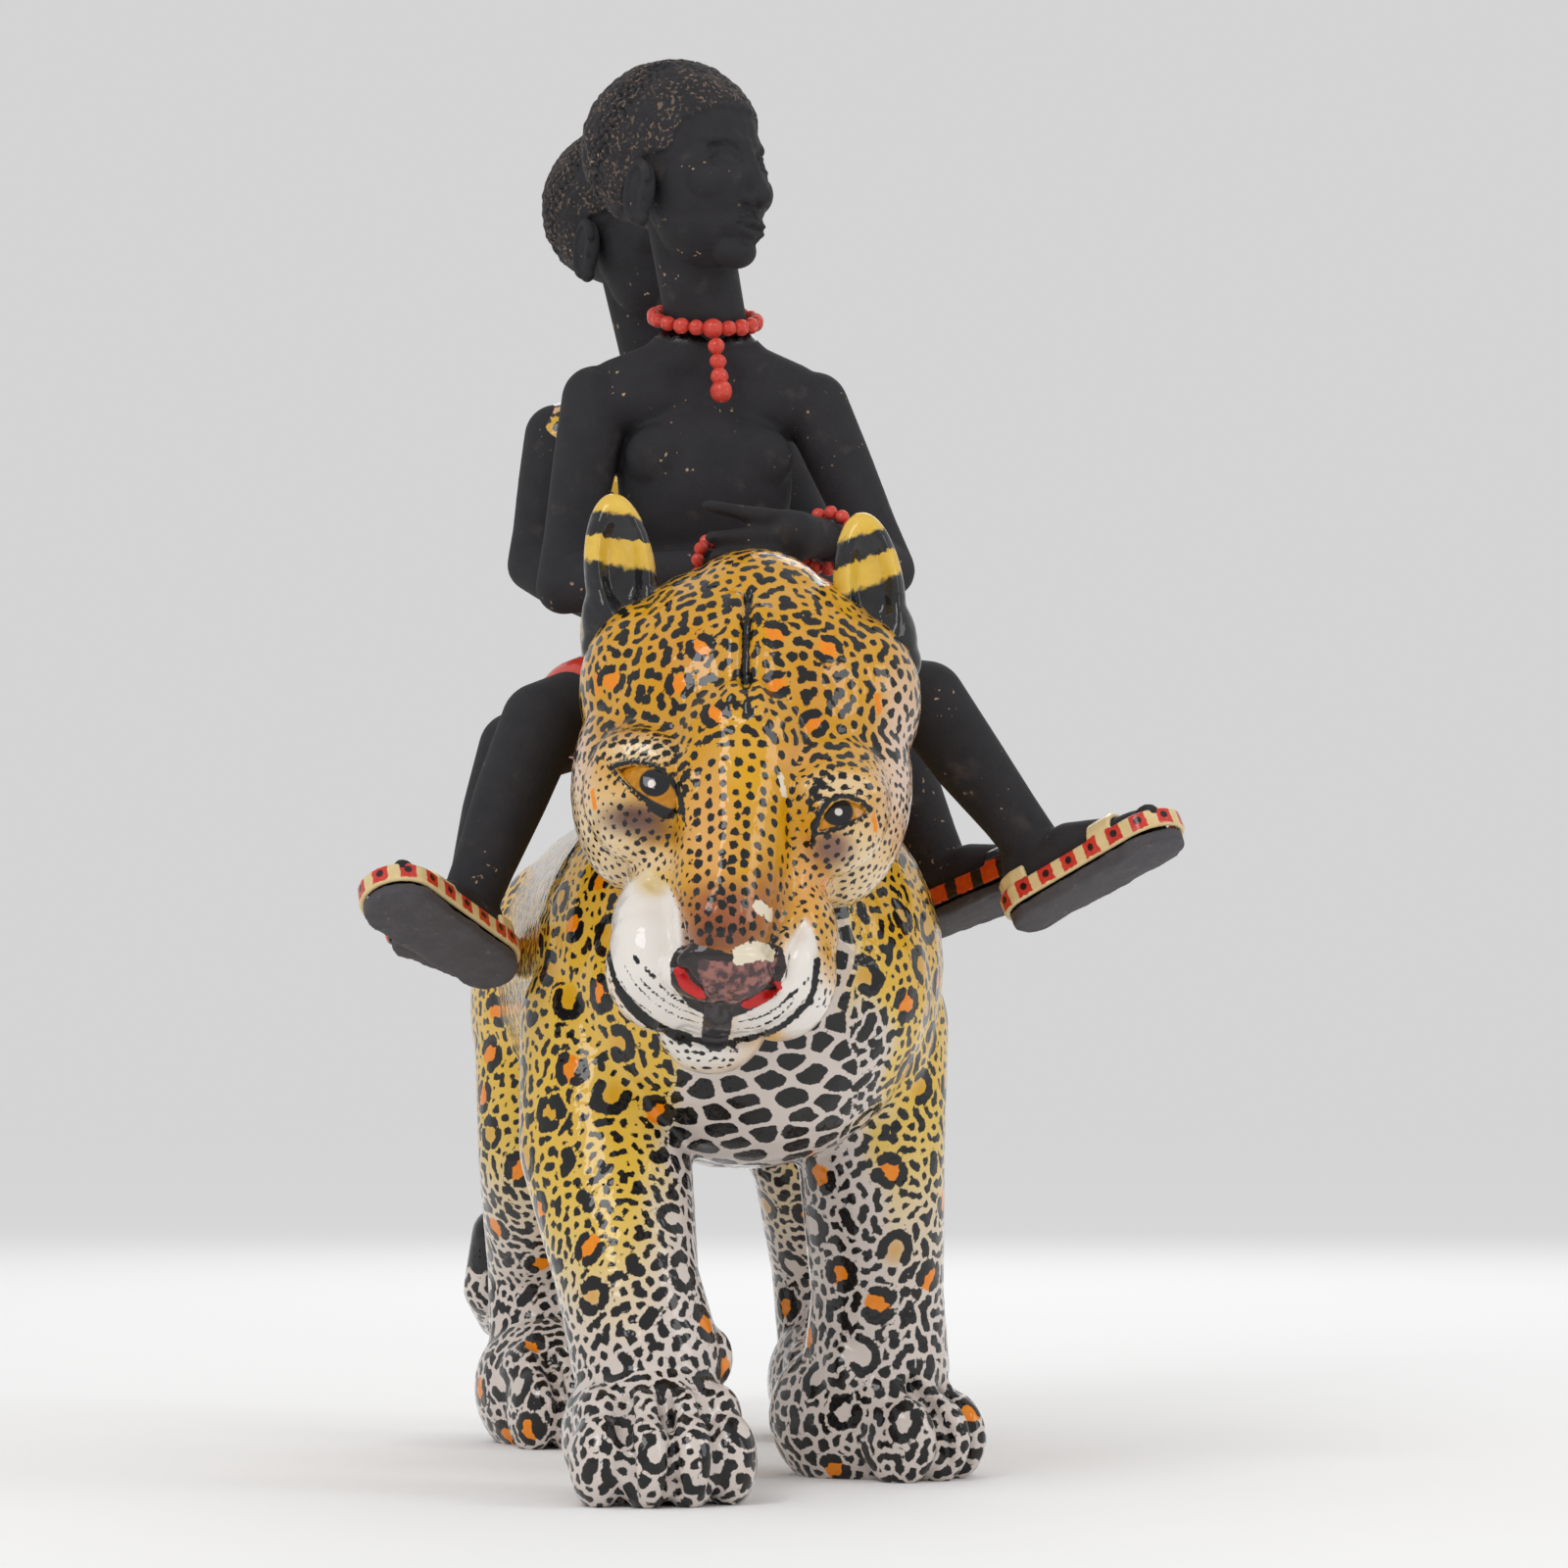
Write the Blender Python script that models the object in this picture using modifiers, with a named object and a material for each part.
"""A glazed clay leopard carrying two riders, as the separately formed pieces that a potter joins.

The leopard walks towards -Y and +Z is up. Its hollow body is one shell with a kiln vent, and the head,
jaw, ears, eyes, legs and tail are pieces of their own. Each rider is a torso, a head, ears, arms, legs,
sandals and beads. A piece that beds on another is cut by it with a thin gap. All sizes are in metres.
"""

import math

import bmesh
import bpy
from mathutils import Euler, Matrix, Vector

# Leopard
BACK_HEIGHT = 0.199
BELLY_HEIGHT = 0.085
BODY_FRONT = -0.042
BODY_REAR = 0.092
SHELL_WALL = 0.009
VENT_RADIUS = 0.004
LEG_JOINT_HEIGHT = 0.082
NECK_RADIUS = 0.036
HEAD_PLACE = (-0.0083, -0.103, BACK_HEIGHT + 0.0045)
HEAD_PITCH = 56.0
HEAD_YAW = -8.5
HEAD_ROLL = -5.5
HEAD_WIDTH = 0.090
MUZZLE_WIDTH = 0.056
EYE_RADIUS = 0.0075
EAR_HEIGHT = 0.046
EAR_LEAN = -6.0
TAIL_RADIUS = 0.0095

# Riders
SEAT_RISE = 0.017
SEAT_HEIGHT = BACK_HEIGHT + SEAT_RISE
TORSO_HEIGHT = 0.093
SHOULDER_SPAN = 0.064
CHEST_HALF_WIDTH = 0.0255
HEAD_HEIGHT = 0.061
NECK_THICKNESS = 0.0232
ARM_RADIUS = 0.0092
LEG_RADIUS = 0.0105
FINGER_RADIUS = 0.0021
ANKLE_HEIGHT = 0.0155
FOOT_LENGTH = 0.055
FOOT_HALF_WIDTH = 0.0092
SOLE_THICKNESS = 0.0045
STRAP_THICKNESS = 0.0018
BEAD_RADIUS = 0.0023
CLOTH_THICKNESS = 0.0025

# Fit of one piece on another
GAP = 0.0004
MERGE = 0.00005
LONG_CUT = 0.5

CLAY_BLACK = ("black_clay", (0.030, 0.028, 0.030), 0.85)
COAT = ("painted_coat", (0.62, 0.40, 0.10), 0.18)
EAR_GLAZE = ("ear_glaze", (0.03, 0.03, 0.03), 0.15)
EYE_GLAZE = ("eye_glaze", (0.35, 0.16, 0.02), 0.08)
BEAD_RED = ("bead_red", (0.70, 0.09, 0.06), 0.30)
CLOTH_RED = ("cloth_red", (0.70, 0.10, 0.07), 0.30)
TUNIC = ("tunic_print", (0.62, 0.42, 0.14), 0.30)
STRAP_CREAM = ("strap_cream", (0.68, 0.52, 0.33), 0.35)
SOLE_GREY = ("sole_grey", (0.055, 0.052, 0.058), 0.75)


def clear_scene():
    for item in list(bpy.data.objects):
        bpy.data.objects.remove(item)


def material_of(finish):
    name, colour, roughness = finish
    found = bpy.data.materials.get(name)
    if found:
        return found
    made = bpy.data.materials.new(name)
    made.use_nodes = True
    shader = made.node_tree.nodes["Principled BSDF"]
    shader.inputs["Base Color"].default_value = (*colour, 1.0)
    shader.inputs["Roughness"].default_value = roughness
    return made


def mirrored(point, side):
    """The point on the right of the figure's middle plane (side -1) or on its left (side 1)."""
    return Vector((abs(point[0]) * side, point[1], point[2]))


class Clay:
    """Lumps of clay pressed into one another, kept as loose closed forms until they are kneaded."""

    def __init__(self, place=None):
        self.form = bmesh.new()
        self.place = place or Matrix.Identity(4)

    def ball(self, at, size, turn=(0, 0, 0), detail=20):
        spin = Euler([math.radians(a) for a in turn]).to_matrix().to_4x4()
        where = self.place @ Matrix.Translation(at) @ spin @ Matrix.Diagonal((*size, 1))
        bmesh.ops.create_uvsphere(self.form, u_segments=detail, v_segments=detail // 2, radius=1, matrix=where)
        return self

    def limb(self, points, radii, detail=20):
        """Round rolls of clay that run from point to point and taper between their radii."""
        steps = zip(points, points[1:], radii, radii[1:])
        for start, end, start_radius, end_radius in steps:
            corners = []
            for at, radius in ((start, start_radius), (end, end_radius)):
                where = self.place @ Matrix.Translation(at)
                made = bmesh.ops.create_uvsphere(
                    self.form, u_segments=detail, v_segments=detail // 2, radius=radius, matrix=where
                )
                corners += made["verts"]
            self.hull(corners)
        return self

    def hull(self, corners):
        skin = bmesh.ops.convex_hull(self.form, input=corners)
        kept = {item for item in skin["geom"] if isinstance(item, bmesh.types.BMVert)}
        bmesh.ops.delete(self.form, geom=[v for v in corners if v not in kept], context="VERTS")
        left = [v for v in corners if v.is_valid]
        loose = {f for v in left for f in v.link_faces} - {
            item for item in skin["geom"] if isinstance(item, bmesh.types.BMFace)
        }
        bmesh.ops.delete(self.form, geom=[f for f in loose if f.is_valid], context="FACES_ONLY")

    def slab(self, heel, toe, heel_radius, toe_radius, low, high):
        """A flat slab with round ends, from the local height low to high."""
        corners = []
        for at, radius in ((heel, heel_radius), (toe, toe_radius)):
            where = self.place @ Matrix.Translation((at[0], at[1], (low + high) / 2))
            made = bmesh.ops.create_cone(
                self.form,
                cap_ends=True,
                segments=16,
                radius1=radius,
                radius2=radius,
                depth=high - low,
                matrix=where,
            )
            corners += made["verts"]
        self.hull(corners)
        return self

    def kneaded(self, name, grain, rounds, faces):
        """The lumps as one smooth skin of about that many triangles, as a mesh."""
        mesh = bpy.data.meshes.new(name)
        self.form.to_mesh(mesh)
        self.form.free()
        piece = bpy.data.objects.new(name, mesh)
        bpy.context.scene.collection.objects.link(piece)
        remesh = piece.modifiers.new("press", "REMESH")
        remesh.mode = "VOXEL"
        remesh.voxel_size = grain
        smooth = piece.modifiers.new("smooth", "SMOOTH")
        smooth.factor = 0.5
        smooth.iterations = rounds
        skin = evaluated(piece)
        count = sum(len(face.vertices) - 2 for face in skin.polygons)
        bpy.data.meshes.remove(skin)
        thin = piece.modifiers.new("thin", "DECIMATE")
        thin.ratio = min(1.0, faces / count)
        thin.use_collapse_triangulate = True
        skin = evaluated(piece)
        bpy.data.objects.remove(piece)
        bpy.data.meshes.remove(mesh)
        return skin


def evaluated(piece):
    bpy.context.view_layer.update()
    graph = bpy.context.evaluated_depsgraph_get()
    return bpy.data.meshes.new_from_object(piece.evaluated_get(graph))


def swollen(mesh, by):
    """A copy of the mesh pushed outwards along its normals."""
    copy = mesh.copy()
    normals = [vertex.normal.copy() for vertex in copy.vertices]
    for vertex, normal in zip(copy.vertices, normals):
        vertex.co += normal * by
    return copy


def carved(mesh, cutters):
    """The mesh with each cutter mesh taken out of it."""
    piece = bpy.data.objects.new("carved", mesh)
    bpy.context.scene.collection.objects.link(piece)
    tools = []
    for index, cutter in enumerate(cutters):
        tool = bpy.data.objects.new(f"tool_{index}", cutter)
        bpy.context.scene.collection.objects.link(tool)
        tool.hide_render = True
        tools.append(tool)
        cut = piece.modifiers.new(f"cut_{index}", "BOOLEAN")
        cut.operation = "DIFFERENCE"
        cut.solver = "EXACT"
        cut.use_self = True
        cut.object = tool
    result = evaluated(piece)
    for item in [piece, *tools]:
        bpy.data.objects.remove(item)
    return largest_body(result)


def largest_body(mesh):
    """The mesh without the crumbs that a cut can leave beside it."""
    form = bmesh.new()
    form.from_mesh(mesh)
    bmesh.ops.remove_doubles(form, verts=form.verts, dist=MERGE)
    bmesh.ops.dissolve_degenerate(form, dist=MERGE, edges=form.edges)
    bodies = []
    unseen = set(form.verts)
    while unseen:
        edge_of_body = [unseen.pop()]
        body = set(edge_of_body)
        while edge_of_body:
            vertex = edge_of_body.pop()
            for edge in vertex.link_edges:
                other = edge.other_vert(vertex)
                if other in unseen:
                    unseen.discard(other)
                    body.add(other)
                    edge_of_body.append(other)
        bodies.append(body)
    bodies.sort(key=len)
    crumbs = [vertex for body in bodies[:-1] for vertex in body]
    bmesh.ops.delete(form, geom=crumbs, context="VERTS")
    form.to_mesh(mesh)
    form.free()
    return mesh


def block(low, high, place=None):
    """A box between two corners, as a cutter mesh."""
    low, high = Vector(low), Vector(high)
    size = high - low
    where = (place or Matrix.Identity(4)) @ Matrix.Translation((low + high) / 2) @ Matrix.Diagonal((*size, 1))
    form = bmesh.new()
    bmesh.ops.create_cube(form, size=1, matrix=where)
    mesh = bpy.data.meshes.new("block")
    form.to_mesh(mesh)
    form.free()
    return mesh


def rod(at, radius, length):
    """An upright round bar whose middle is at the point, as a cutter mesh."""
    form = bmesh.new()
    bmesh.ops.create_cone(
        form,
        cap_ends=True,
        segments=12,
        radius1=radius,
        radius2=radius,
        depth=length,
        matrix=Matrix.Translation(at),
    )
    mesh = bpy.data.meshes.new("rod")
    form.to_mesh(mesh)
    form.free()
    return mesh


def above(height):
    return block((-LONG_CUT, -LONG_CUT, height), (LONG_CUT, LONG_CUT, height + LONG_CUT))


def below(height):
    return block((-LONG_CUT, -LONG_CUT, height - LONG_CUT), (LONG_CUT, LONG_CUT, height))


# Leopard pieces

BARREL_RADIUS = (BACK_HEIGHT - BELLY_HEIGHT) / 2
BARREL_HEIGHT = BELLY_HEIGHT + BARREL_RADIUS

# Each leg runs from the body down to the paw: points, radii, and where the paw lies and how far it turns.
LEGS = {
    "front_right": {
        "points": [(-0.036, -0.048, 0.125), (-0.040, -0.060, 0.092), (-0.037, -0.084, 0.056), (-0.0325, -0.091, 0.034)],
        "radii": [0.026, 0.0235, 0.0190, 0.0200],
        "paw": (-0.033, -0.097, 0.0),
        "turn": 2.0,
        "paw_half_width": 0.0240,
    },
    "front_left": {
        "points": [(0.034, -0.044, 0.125), (0.0365, -0.046, 0.088), (0.0395, -0.040, 0.050), (0.0395, -0.038, 0.030)],
        "radii": [0.0245, 0.0205, 0.0185, 0.0205],
        "paw": (0.035, -0.036, 0.0),
        "turn": 52.0,
        "paw_half_width": 0.0215,
    },
    "rear_right": {
        "points": [(-0.032, 0.098, 0.125), (-0.038, 0.084, 0.086), (-0.038, 0.112, 0.052), (-0.038, 0.106, 0.026)],
        "radii": [0.027, 0.0210, 0.0150, 0.0150],
        "paw": (-0.037, 0.098, 0.0),
        "turn": 20.0,
        "paw_half_width": 0.0205,
    },
    "rear_left": {
        "points": [(0.033, 0.104, 0.125), (0.045, 0.100, 0.086), (0.052, 0.124, 0.052), (0.054, 0.120, 0.026)],
        "radii": [0.026, 0.0175, 0.0140, 0.0145],
        "paw": (0.055, 0.110, 0.0),
        "turn": 8.0,
        "paw_half_width": 0.0205,
    },
}
TAIL_POINTS = [
    (0.000, 0.138, 0.164),
    (-0.003, 0.160, 0.152),
    (-0.010, 0.172, 0.116),
    (-0.020, 0.176, 0.078),
    (-0.032, 0.172, 0.048),
    (-0.042, 0.160, 0.037),
    (-0.047, 0.148, 0.045),
    (-0.046, 0.144, 0.062),
]


def body_lumps(shrink=0.0):
    """The trunk's lumps, or those of the hollow inside it when they shrink by the wall's thickness."""
    clay = Clay()
    radius = BARREL_RADIUS - shrink
    clay.limb([(0, BODY_FRONT, BARREL_HEIGHT), (0, BODY_REAR, BARREL_HEIGHT)], [radius, radius * 0.95])
    return clay


def body_mesh():
    clay = body_lumps()
    clay.ball((0, BODY_FRONT - 0.020, BARREL_HEIGHT - 0.006), (0.050, 0.040, 0.050))
    for side in (-1, 1):
        clay.ball(mirrored((0.0335, BODY_FRONT - 0.004, BARREL_HEIGHT - 0.006), side), (0.0215, 0.034, 0.046))
        clay.ball(mirrored((0.031, BODY_REAR + 0.008, BARREL_HEIGHT - 0.008), side), (0.029, 0.038, 0.046))
    clay.ball((0, BODY_REAR + 0.024, BARREL_HEIGHT + 0.008), (0.040, 0.032, 0.040))
    clay.limb([(0, BODY_FRONT - 0.002, BARREL_HEIGHT + 0.020), (-0.006, -0.080, BACK_HEIGHT + 0.001)], [0.042, NECK_RADIUS])
    for leg in LEGS.values():
        clay.limb(leg["points"][:2], leg["radii"][:2])
        clay.limb(leg["points"][1:3], leg["radii"][1:3])
    outside = clay.kneaded("body", 0.0035, 4, 820)
    hollow = body_lumps(SHELL_WALL).kneaded("hollow", 0.006, 2, 120)
    vent = rod((0, (BODY_FRONT + BODY_REAR) / 2, BELLY_HEIGHT), VENT_RADIUS, 3 * SHELL_WALL)
    return carved(outside, [below(LEG_JOINT_HEIGHT), hollow, vent])


def paw_place(leg):
    return Matrix.Translation(leg["paw"]) @ Matrix.Rotation(math.radians(leg["turn"]), 4, "Z")


def leg_mesh(leg):
    """A leg below the body's joint, ending in a broad paw with four toes that stands flat."""
    clay = Clay().limb(leg["points"], leg["radii"])
    half = leg["paw_half_width"]
    paw = Clay(paw_place(leg))
    paw.form.free()
    paw.form = clay.form
    paw.ball((0, 0.000, 0.017), (half * 0.98, 0.026, 0.023))
    toe_radius = half * 0.33
    for index in range(4):
        across = (index - 1.5) / 1.5
        reach = -0.020 - 0.006 * (1 - across**2)
        paw.ball((across * half * 0.70, reach, 0.0115), (toe_radius, 0.011, 0.0130))
    solid = paw.kneaded("leg", 0.0022, 3, 320)
    return carved(solid, [above(LEG_JOINT_HEIGHT - GAP), below(0.0)])


def tail_mesh():
    radii = [TAIL_RADIUS * k for k in (1.3, 1.2, 1.05, 1.0, 0.98, 1.0, 1.02, 0.9)]
    return Clay().limb(TAIL_POINTS, radii).kneaded("tail", 0.0022, 4, 200)


def head_frame():
    """Local -Y runs down the nose, +Z out of the forehead and +X to the leopard's left."""
    turn = (
        Matrix.Rotation(math.radians(HEAD_YAW), 4, "Z")
        @ Matrix.Rotation(math.radians(HEAD_PITCH), 4, "X")
        @ Matrix.Rotation(math.radians(HEAD_ROLL), 4, "Z")
    )
    return Matrix.Translation(HEAD_PLACE) @ turn


def leopard_head_mesh():
    half, muzzle = HEAD_WIDTH / 2, MUZZLE_WIDTH / 2
    clay = Clay(head_frame())
    clay.ball((0, 0.008, -0.004), (half * 0.96, 0.044, 0.036))
    for side in (-1, 1):
        clay.ball(mirrored((half * 0.58, -0.012, -0.010), side), (half * 0.43, 0.034, 0.025))
        clay.ball(mirrored((half * 0.50, -0.030, 0.008), side), (0.018, 0.022, 0.015))
        clay.ball(mirrored((muzzle * 0.50, -0.074, -0.009), side), (muzzle * 0.56, 0.017, 0.018))
    clay.limb([(0, -0.018, 0.014), (0, -0.074, 0.010)], [0.018, 0.0125])
    clay.limb([(0, -0.038, -0.006), (0, -0.068, -0.008)], [0.028, 0.022])
    clay.ball((0, -0.086, 0.006), (0.014, 0.007, 0.009))
    return clay.kneaded("head", 0.0025, 3, 540)


def jaw_mesh():
    clay = Clay(head_frame()).limb([(0, -0.028, -0.026), (-0.002, -0.076, -0.027)], [0.018, 0.0150])
    return clay.kneaded("jaw", 0.0022, 3, 110)


def ear_frame(side):
    lean = Matrix.Rotation(math.radians(EAR_LEAN), 4, "Y")
    return Matrix.Translation(ear_root(side)) @ lean


def ear_root(side):
    return head_frame() @ Vector((0.0335 * side - 0.0015, 0.026, 0.008))


def leopard_ear_mesh(side):
    """An upright leaf, hollowed in front."""
    place = ear_frame(side)
    leaf = Clay(place).ball((0, 0, EAR_HEIGHT * 0.26), (0.0098, 0.0072, EAR_HEIGHT / 2))
    leaf = leaf.ball((0, 0, 0), (0.0115, 0.0085, 0.0150)).kneaded("ear", 0.0016, 1, 150)
    dish = Clay(place).ball((0, -0.0085, EAR_HEIGHT * 0.32), (0.0072, 0.0078, EAR_HEIGHT * 0.34))
    return carved(leaf, [dish.kneaded("dish", 0.0016, 1, 60)])


def eye_place(side):
    return head_frame() @ Vector((0.0248 * side, -0.0365, 0.0165))


def eye_mesh(side):
    clay = Clay().ball(eye_place(side), (EYE_RADIUS,) * 3)
    return clay.kneaded("eye", 0.0012, 1, 80)


# Riders

def on_seat(across, along, rise):
    """A place given by its rise over the riders' seat."""
    return (across, along, SEAT_HEIGHT + rise)


RIDERS = {
    "front_rider": {
        "seat": on_seat(-0.004, -0.002, 0.0),
        "head": on_seat(-0.0105, -0.015, 0.1560),
        "head_yaw": 46.0,
        "elbow": {-1: on_seat(-0.0460, -0.014, 0.0340), 1: on_seat(0.0470, -0.018, 0.0400)},
        "wrist": {-1: on_seat(-0.0060, -0.048, 0.0360), 1: on_seat(0.0215, -0.052, 0.0445)},
        "fingers": {-1: on_seat(0.0150, -0.060, 0.0310), 1: on_seat(-0.0060, -0.066, 0.0460)},
        "knee": {-1: on_seat(-0.0570, -0.052, -0.0080), 1: on_seat(0.0495, -0.060, -0.0010)},
        "ankle": {-1: on_seat(-0.0780, -0.064, -0.0590), 1: on_seat(0.0775, -0.070, -0.0420)},
        "toes": {-1: on_seat(-0.1100, -0.092, -0.0410), 1: on_seat(0.1145, -0.098, -0.0190)},
        "foot_up": {-1: (-0.24, 0.38, 0.89), 1: (-0.16, 0.34, 0.92)},
    },
    "rear_rider": {
        "seat": on_seat(-0.006, 0.072, 0.0),
        "head": on_seat(-0.0135, 0.062, 0.1540),
        "head_yaw": 38.0,
        "elbow": {-1: on_seat(-0.0465, 0.054, 0.0480), 1: on_seat(0.0400, 0.044, 0.0500)},
        "wrist": {-1: on_seat(-0.0320, 0.028, 0.0340), 1: on_seat(0.0270, 0.024, 0.0360)},
        "fingers": {-1: on_seat(-0.0270, 0.006, 0.0290), 1: on_seat(0.0230, 0.006, 0.0310)},
        "knee": {-1: on_seat(-0.0555, 0.020, -0.0100), 1: on_seat(0.0560, 0.022, -0.0100)},
        "ankle": {-1: on_seat(-0.0690, 0.018, -0.0560), 1: on_seat(0.0685, 0.012, -0.0420)},
        "toes": {-1: on_seat(-0.0940, -0.014, -0.0480), 1: on_seat(0.1040, -0.018, -0.0260)},
        "foot_up": {-1: (-0.15, 0.40, 0.90), 1: (-0.25, 0.45, 0.85)},
    },
}


def hip(rider, side):
    seat = Vector(rider["seat"])
    return seat + Vector((0.0145 * side, -0.002, 0.006))


def shoulder(rider, side):
    seat = Vector(rider["seat"])
    return seat + Vector((SHOULDER_SPAN / 2 * side, -0.004, TORSO_HEIGHT))


def torso_mesh(rider):
    seat = Vector(rider["seat"])
    clay = Clay(Matrix.Translation(seat))
    waist = CHEST_HALF_WIDTH * 0.86
    clay.ball((0, 0, 0.000), (waist * 1.08, 0.018, 0.020))
    clay.ball((0, -0.002, 0.030), (waist, 0.0155, 0.036))
    clay.ball((0, -0.003, 0.068), (CHEST_HALF_WIDTH, 0.0165, 0.030))
    across = SHOULDER_SPAN / 2 - 0.007
    clay.limb([(-across, -0.003, TORSO_HEIGHT - 0.004), (across, -0.003, TORSO_HEIGHT - 0.004)], [0.0105, 0.0105])
    for side in (-1, 1):
        clay.limb([(side * across, -0.003, TORSO_HEIGHT), (side * 0.004, -0.003, TORSO_HEIGHT + 0.008)], [0.0085, 0.012])
    return clay.kneaded("torso", 0.002, 4, 260)


def rider_head_frame(rider):
    """Local -Y is where the face looks."""
    return Matrix.Translation(rider["head"]) @ Matrix.Rotation(math.radians(rider["head_yaw"]), 4, "Z")


def rider_head_mesh(rider):
    tall = HEAD_HEIGHT / 2
    clay = Clay(rider_head_frame(rider))
    clay.ball((0, 0.0060, tall * 0.20), (tall * 0.77, tall * 0.88, tall * 0.80))
    clay.ball((0, -0.0070, -tall * 0.28), (tall * 0.62, tall * 0.66, tall * 0.64))
    clay.ball((0, -0.0160, -tall * 0.68), (tall * 0.36, tall * 0.33, tall * 0.31))
    clay.limb([(0, -0.0245, tall * 0.02), (0, -0.0275, -tall * 0.22)], [0.0022, 0.0038])
    clay.ball((0, -0.0228, -tall * 0.48), (0.0080, 0.0045, 0.0045))
    local = rider_head_frame(rider).inverted() @ Vector(neck_foot(rider))
    clay.limb([(0, 0.000, -tall * 0.35), local], [NECK_THICKNESS / 2, NECK_THICKNESS / 2])
    return clay.kneaded("head", 0.0018, 3, 440)


def neck_foot(rider):
    return Vector(rider["seat"]) + Vector((0.0015, -0.002, TORSO_HEIGHT + 0.014))


def rider_ear_mesh(rider, side):
    clay = Clay(rider_head_frame(rider))
    clay.ball((side * HEAD_HEIGHT * 0.345, 0.0010, -0.0125), (0.0034, 0.0062, 0.0090), turn=(12, 0, 20 * side))
    return clay.kneaded("ear", 0.0012, 1, 72)


def arm_mesh(rider, side):
    """Upper arm, forearm and hand rolled from one coil of clay."""
    start = shoulder(rider, side)
    elbow = Vector(rider["elbow"][side])
    wrist = Vector(rider["wrist"][side])
    tip = Vector(rider["fingers"][side])
    clay = Clay().limb([start, elbow, wrist], [ARM_RADIUS * 1.02, ARM_RADIUS * 0.90, ARM_RADIUS * 0.58])
    reach = tip - wrist
    along = reach.normalized()
    across = along.cross(Vector((0, 0, 1))).normalized() * side
    palm = wrist + reach * 0.36
    spin = along.to_track_quat("Y", "Z").to_matrix().to_4x4()
    hand = Clay(Matrix.Translation(palm) @ spin)
    hand.form.free()
    hand.form = clay.form
    hand.ball((0, 0, 0), (0.0074, 0.0098, 0.0042))
    hand.place = Matrix.Identity(4)
    for index in range(4):
        spread = (index - 1.5) * 0.0037
        root = palm + across * spread + along * 0.004
        end = palm + across * spread * 1.25 + along * (reach.length * 0.64 - abs(index - 1.5) * 0.0015)
        hand.limb([root, end - Vector((0, 0, 0.0015))], [FINGER_RADIUS * 1.05, FINGER_RADIUS * 0.8], detail=10)
    thumb_root = palm - across * 0.004 - along * 0.003
    thumb_end = thumb_root - across * 0.006 + along * 0.013 + Vector((0, 0, 0.007))
    hand.limb([thumb_root, thumb_end], [FINGER_RADIUS * 1.2, FINGER_RADIUS * 0.85], detail=10)
    return hand.kneaded("arm", 0.0014, 2, 360)


def foot_frame(rider, side):
    """Local -Y runs from heel to toes, +Z out of the instep, with the origin under the ankle on the foot's bottom."""
    ankle, toes = Vector(rider["ankle"][side]), Vector(rider["toes"][side])
    forward = (toes - ankle).normalized()
    up = Vector(rider["foot_up"][side])
    up = (up - forward * up.dot(forward)).normalized()
    turn = Matrix((forward.cross(up) * -1, forward * -1, up)).transposed()
    if turn.determinant() < 0:
        turn = Matrix((forward.cross(up), forward * -1, up)).transposed()
    return Matrix.Translation(ankle - up * ANKLE_HEIGHT) @ turn.to_4x4()


def foot_outline():
    """The heel and toe circles of the foot's outline: their places and radii."""
    heel = (0, FOOT_LENGTH * 0.09)
    toe = (0, FOOT_LENGTH * 0.09 - (FOOT_LENGTH - 2 * FOOT_HALF_WIDTH))
    return heel, toe, FOOT_HALF_WIDTH * 0.86, FOOT_HALF_WIDTH


def leg_and_foot_mesh(rider, side):
    """Thigh, shin and foot rolled from one coil of clay."""
    hip_at, knee, ankle = hip(rider, side), Vector(rider["knee"][side]), Vector(rider["ankle"][side])
    clay = Clay().limb(
        [hip_at, knee, knee.lerp(ankle, 0.45), ankle],
        [LEG_RADIUS * 1.26, LEG_RADIUS * 1.06, LEG_RADIUS * 0.96, LEG_RADIUS * 0.74],
    )
    heel, toe, heel_radius, toe_radius = foot_outline()
    foot = Clay(foot_frame(rider, side))
    foot.form.free()
    foot.form = clay.form
    foot.limb([(*heel, 0.0075), (*toe, 0.0045)], [heel_radius * 0.88, toe_radius * 0.60])
    foot.ball((toe[0], toe[1] + 0.004, 0.0042), (toe_radius * 0.92, 0.0105, 0.0052))
    for index in range(5):
        across = (index - 2) / 2
        foot.ball((across * toe_radius * 0.66, toe[1] - 0.0050 + 0.0012 * abs(index - 1.2), 0.0034), (0.0021, 0.0036, 0.0028))
    foot_solid = foot.kneaded("leg", 0.0016, 2, 380)
    under = block((-0.04, -0.07, -0.04), (0.04, 0.04, 0.0), foot_frame(rider, side))
    return carved(foot_solid, [under])


def sole_mesh(rider, side):
    heel, toe, heel_radius, toe_radius = foot_outline()
    rim = 0.0012
    clay = Clay(foot_frame(rider, side))
    clay.slab(heel, toe, heel_radius + rim, toe_radius + rim, -SOLE_THICKNESS - GAP, -GAP)
    mesh = bpy.data.meshes.new("sole")
    clay.form.to_mesh(mesh)
    clay.form.free()
    return mesh


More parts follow.
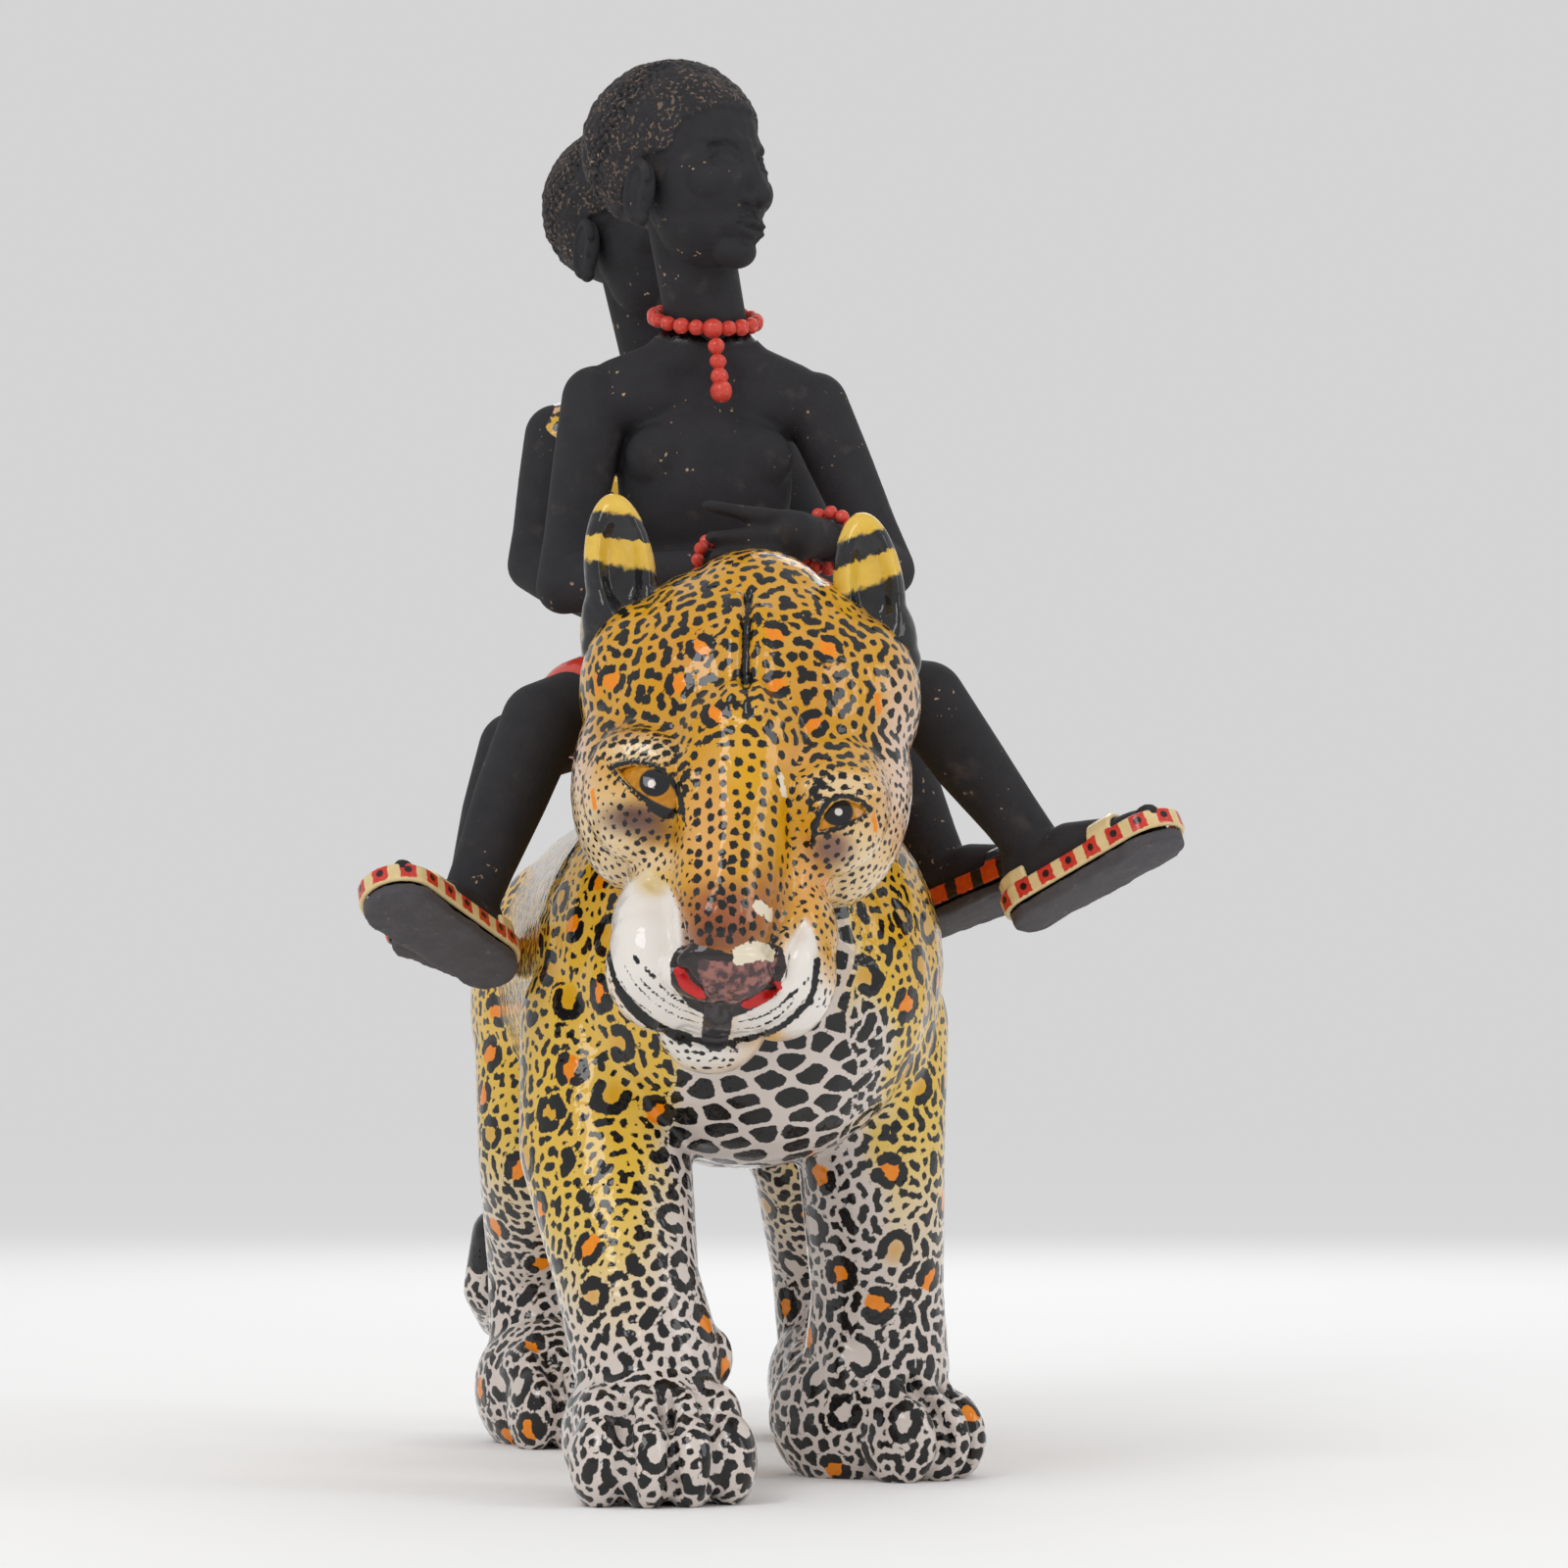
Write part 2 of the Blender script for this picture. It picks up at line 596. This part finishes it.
def strap_mesh(rider, side):
    """A band round the foot above the sole, with a loop over the toes and one behind the heel."""
    heel, toe, heel_radius, toe_radius = foot_outline()
    clay = Clay(foot_frame(rider, side))
    clay.slab(heel, toe, heel_radius + STRAP_THICKNESS, toe_radius + STRAP_THICKNESS, GAP, 0.0052)
    arch = toe_radius + STRAP_THICKNESS * 0.2
    steps = [math.pi * k / 6 for k in range(7)]
    over = [(math.cos(a) * arch * 0.95, toe[1] + 0.010, 0.003 + math.sin(a) * 0.0085) for a in steps]
    clay.limb(over, [STRAP_THICKNESS * 1.1] * len(over), detail=8)
    band = clay.kneaded("strap", 0.0013, 1, 200)
    under = block((-0.04, -0.07, -0.04), (0.04, 0.04, GAP), foot_frame(rider, side))
    return carved(band, [under])


def bead_ring(name, centre, radius, turn, beads, bead_radius):
    """Beads threaded closely on a ring: a closed tube that swells at each bead."""
    curve = bpy.data.curves.new(name, "CURVE")
    curve.dimensions = "3D"
    curve.bevel_depth = bead_radius
    curve.bevel_resolution = 1
    spline = curve.splines.new("POLY")
    count = beads * 2
    spline.points.add(count - 1)
    for index in range(count):
        angle = 2 * math.pi * index / count
        spline.points[index].co = (radius * math.cos(angle), radius * math.sin(angle), 0, 1)
        spline.points[index].radius = (1.0, 0.5)[index % 2]
    spline.use_cyclic_u = True
    return tube_mesh(name, curve, Matrix.Translation(centre) @ turn)


def bead_drop(name, points, bead_radius):
    """A short hanging string: one swelling tube through the beads' centres."""
    curve = bpy.data.curves.new(name, "CURVE")
    curve.dimensions = "3D"
    curve.bevel_depth = bead_radius
    curve.bevel_resolution = 1
    curve.use_fill_caps = True
    spline = curve.splines.new("POLY")
    steps = 4
    count = (len(points) - 1) * steps + 1
    spline.points.add(count - 1)
    for index in range(count):
        whole, part = divmod(index, steps)
        start = Vector(points[whole])
        end = Vector(points[min(whole + 1, len(points) - 1)])
        spline.points[index].co = (*start.lerp(end, part / steps), 1)
        spline.points[index].radius = (1.0, 0.82, 0.5, 0.82)[part]
    return tube_mesh(name, curve, Matrix.Identity(4))


def tube_mesh(name, curve, place):
    tube = bpy.data.objects.new(name, curve)
    bpy.context.scene.collection.objects.link(tube)
    mesh = evaluated(tube)
    mesh.transform(place)
    bpy.data.objects.remove(tube)
    form = bmesh.new()
    form.from_mesh(mesh)
    bmesh.ops.remove_doubles(form, verts=form.verts, dist=1e-6)
    bmesh.ops.recalc_face_normals(form, faces=form.faces)
    form.to_mesh(mesh)
    form.free()
    return mesh


def bracelet_mesh(rider, side):
    elbow, wrist = Vector(rider["elbow"][side]), Vector(rider["wrist"][side])
    along = (wrist - elbow).normalized()
    turn = along.to_track_quat("Z", "Y").to_matrix().to_4x4()
    return bead_ring("bracelet", wrist - along * 0.003, ARM_RADIUS * 0.66 + BEAD_RADIUS * 0.85, turn, 14, BEAD_RADIUS * 0.85)


def necklace_mesh(rider):
    centre = neck_foot(rider) + Vector((-0.0015, -0.0010, 0.0065))
    tilt = Matrix.Rotation(math.radians(20), 4, "X")
    return bead_ring("necklace", centre, NECK_THICKNESS / 2 + BEAD_RADIUS * 1.4, tilt, 20, BEAD_RADIUS)


def pendant_mesh(rider):
    """Four beads that hang on the chest from the front of the necklace."""
    top = neck_foot(rider) + Vector((-0.0010, -0.0180, -0.0042))
    drop = [top + Vector((0.0004 * k, -0.0006 * k, -0.0044 * k)) for k in range(4)]
    return bead_drop("pendant", drop, BEAD_RADIUS * 1.1)


def wrap_mesh(rider):
    """The cloth round the front rider's hips and the tops of both thighs."""
    seat = Vector(rider["seat"])
    clay = Clay()
    clay.ball(seat + Vector((0, 0, 0.002)), (0.0300, 0.0235, 0.0200))
    for side in (-1, 1):
        start = hip(rider, side)
        end = start.lerp(Vector(rider["knee"][side]), 0.62)
        clay.limb([start, end], [LEG_RADIUS * 1.28 + CLOTH_THICKNESS, LEG_RADIUS * 1.12 + CLOTH_THICKNESS])
    return clay.kneaded("wrap", 0.0022, 2, 280)


def tunic_mesh(rider):
    """The rear rider's printed cloth, which hangs from the right shoulder."""
    seat = Vector(rider["seat"])
    clay = Clay(Matrix.Translation(seat))
    grown = CLOTH_THICKNESS
    waist = CHEST_HALF_WIDTH * 0.86
    clay.ball((0, 0, 0.000), (waist * 1.30 + grown, 0.020 + grown, 0.022))
    clay.ball((0, -0.002, 0.030), (waist + grown, 0.0155 + grown, 0.038))
    clay.ball((0, -0.003, 0.068), (CHEST_HALF_WIDTH + grown, 0.0165 + grown, 0.032))
    clay.limb([(-0.018, -0.003, TORSO_HEIGHT - 0.004), (0.006, -0.003, 0.060)], [0.0105 + grown, 0.012 + grown])
    solid = clay.kneaded("tunic", 0.002, 3, 280)
    slant = Matrix.Translation(seat + Vector((0, 0, 0.074))) @ Matrix.Rotation(math.radians(38), 4, "Y")
    return carved(solid, [block((-0.006, -0.1, 0.004), (0.2, 0.1, 0.2), slant)])


def finished(name, mesh, finish, home):
    piece = bpy.data.objects.new(name, mesh)
    piece.parent = home
    mesh.materials.clear()
    mesh.materials.append(material_of(finish))
    mesh.shade_smooth()
    bpy.data.collections["leopard_riders"].objects.link(piece)
    return piece


def leopard_pieces():
    """Each piece's uncut mesh and finish by name."""
    made = {
        "leopard_body": (body_mesh(), COAT),
        "leopard_head": (leopard_head_mesh(), COAT),
        "leopard_jaw": (jaw_mesh(), COAT),
        "leopard_tail": (tail_mesh(), COAT),
    }
    for name, leg in LEGS.items():
        made[f"leopard_{name}_leg"] = (leg_mesh(leg), COAT)
    for side, word in ((-1, "right"), (1, "left")):
        made[f"leopard_{word}_ear"] = (leopard_ear_mesh(side), EAR_GLAZE)
        made[f"leopard_{word}_eye"] = (eye_mesh(side), EYE_GLAZE)
    return made


def rider_pieces(name, rider):
    made = {f"{name}_torso": (torso_mesh(rider), CLAY_BLACK), f"{name}_head": (rider_head_mesh(rider), CLAY_BLACK)}
    for side, word in ((-1, "right"), (1, "left")):
        made[f"{name}_{word}_ear"] = (rider_ear_mesh(rider, side), CLAY_BLACK)
        made[f"{name}_{word}_arm"] = (arm_mesh(rider, side), CLAY_BLACK)
        made[f"{name}_{word}_leg"] = (leg_and_foot_mesh(rider, side), CLAY_BLACK)
        made[f"{name}_{word}_sandal_sole"] = (sole_mesh(rider, side), SOLE_GREY)
        made[f"{name}_{word}_sandal_strap"] = (strap_mesh(rider, side), STRAP_CREAM)
    return made


def main():
    clear_scene()
    shown = bpy.data.collections.new("leopard_riders")
    bpy.context.scene.collection.children.link(shown)
    home = bpy.data.objects.new("figure", None)
    shown.objects.link(home)
    made = leopard_pieces()
    for name, rider in RIDERS.items():
        made |= rider_pieces(name, rider)
    front = RIDERS["front_rider"]
    made["front_rider_necklace"] = (necklace_mesh(front), BEAD_RED)
    made["front_rider_pendant"] = (pendant_mesh(front), BEAD_RED)
    made["front_rider_right_bracelet"] = (bracelet_mesh(front, -1), BEAD_RED)
    made["front_rider_left_bracelet"] = (bracelet_mesh(front, 1), BEAD_RED)
    made["front_rider_wrap"] = (wrap_mesh(front), CLOTH_RED)
    made["rear_rider_tunic"] = (tunic_mesh(RIDERS["rear_rider"]), TUNIC)
    for name, (mesh, finish) in fitted(made).items():
        finished(name, mesh, finish, home)
    centre_on_base(home)


def beds():
    """For each piece, the pieces that press into it, in the order in which they are cut out."""
    found = {
        "leopard_body": ["leopard_head", "leopard_jaw", "leopard_tail"],
        "leopard_head": ["leopard_jaw", "leopard_right_eye", "leopard_left_eye"],
        "leopard_right_ear": ["leopard_head", "leopard_body"],
        "leopard_left_ear": ["leopard_head", "leopard_body"],
        "front_rider_wrap": [
            "front_rider_torso",
            "front_rider_right_leg",
            "front_rider_left_leg",
            "leopard_body",
            "leopard_head",
            "rear_rider_right_leg",
            "rear_rider_left_leg",
            "front_rider_right_arm",
            "front_rider_left_arm",
            "rear_rider_right_arm",
            "rear_rider_left_arm",
        ],
        "rear_rider_tunic": [
            "rear_rider_torso",
            "rear_rider_head",
            "leopard_body",
            "rear_rider_right_leg",
            "rear_rider_left_leg",
            "rear_rider_right_arm",
            "rear_rider_left_arm",
        ],
    }
    for name in RIDERS:
        found[f"{name}_torso"] = [f"{name}_head", "leopard_body"]
        found[f"{name}_head"] = [f"{name}_right_ear", f"{name}_left_ear"]
        for word in ("right", "left"):
            found[f"{name}_torso"] += [f"{name}_{word}_arm", f"{name}_{word}_leg"]
            found[f"{name}_{word}_leg"] = ["leopard_body", "leopard_head"]
            found[f"{name}_{word}_arm"] = ["leopard_body", "leopard_head", f"{name}_{word}_leg"]
            found[f"{name}_{word}_sandal_strap"] = [f"{name}_{word}_leg", "leopard_body"]
            found[f"{name}_{word}_sandal_sole"] = ["leopard_body"]
    found["rear_rider_right_arm"] += ["front_rider_torso", "front_rider_right_leg", "front_rider_right_arm"]
    found["rear_rider_left_arm"] += ["front_rider_torso", "front_rider_left_leg", "front_rider_left_arm"]
    for word in ("right", "left"):
        found[f"front_rider_{word}_bracelet"] = [f"front_rider_{word}_arm", "leopard_head", "front_rider_torso"]
    return found


def fitted(made):
    """The pieces after each has been cut by those that bed in it, which are first swollen by the gap."""
    cut = {}
    for name, (mesh, finish) in made.items():
        tools = [swollen(made[other][0], GAP) for other in beds().get(name, []) if touches(mesh, made[other][0])]
        cut[name] = (carved(mesh.copy(), tools) if tools else mesh, finish)
    return cut


def touches(first, second):
    """Whether the boxes round two meshes meet."""
    for axis in range(3):
        one = [vertex.co[axis] for vertex in first.vertices]
        two = [vertex.co[axis] for vertex in second.vertices]
        if min(one) > max(two) + 2 * GAP or min(two) > max(one) + 2 * GAP:
            return False
    return True


def centre_on_base(home):
    """Moves the figure so that the frame's origin is the middle of its outline on the ground."""
    corners = [corner.co for piece in home.children for corner in piece.data.vertices]
    middle = [(min(c[axis] for c in corners) + max(c[axis] for c in corners)) / 2 for axis in range(2)]
    home.location = (-middle[0], -middle[1], 0)


main()
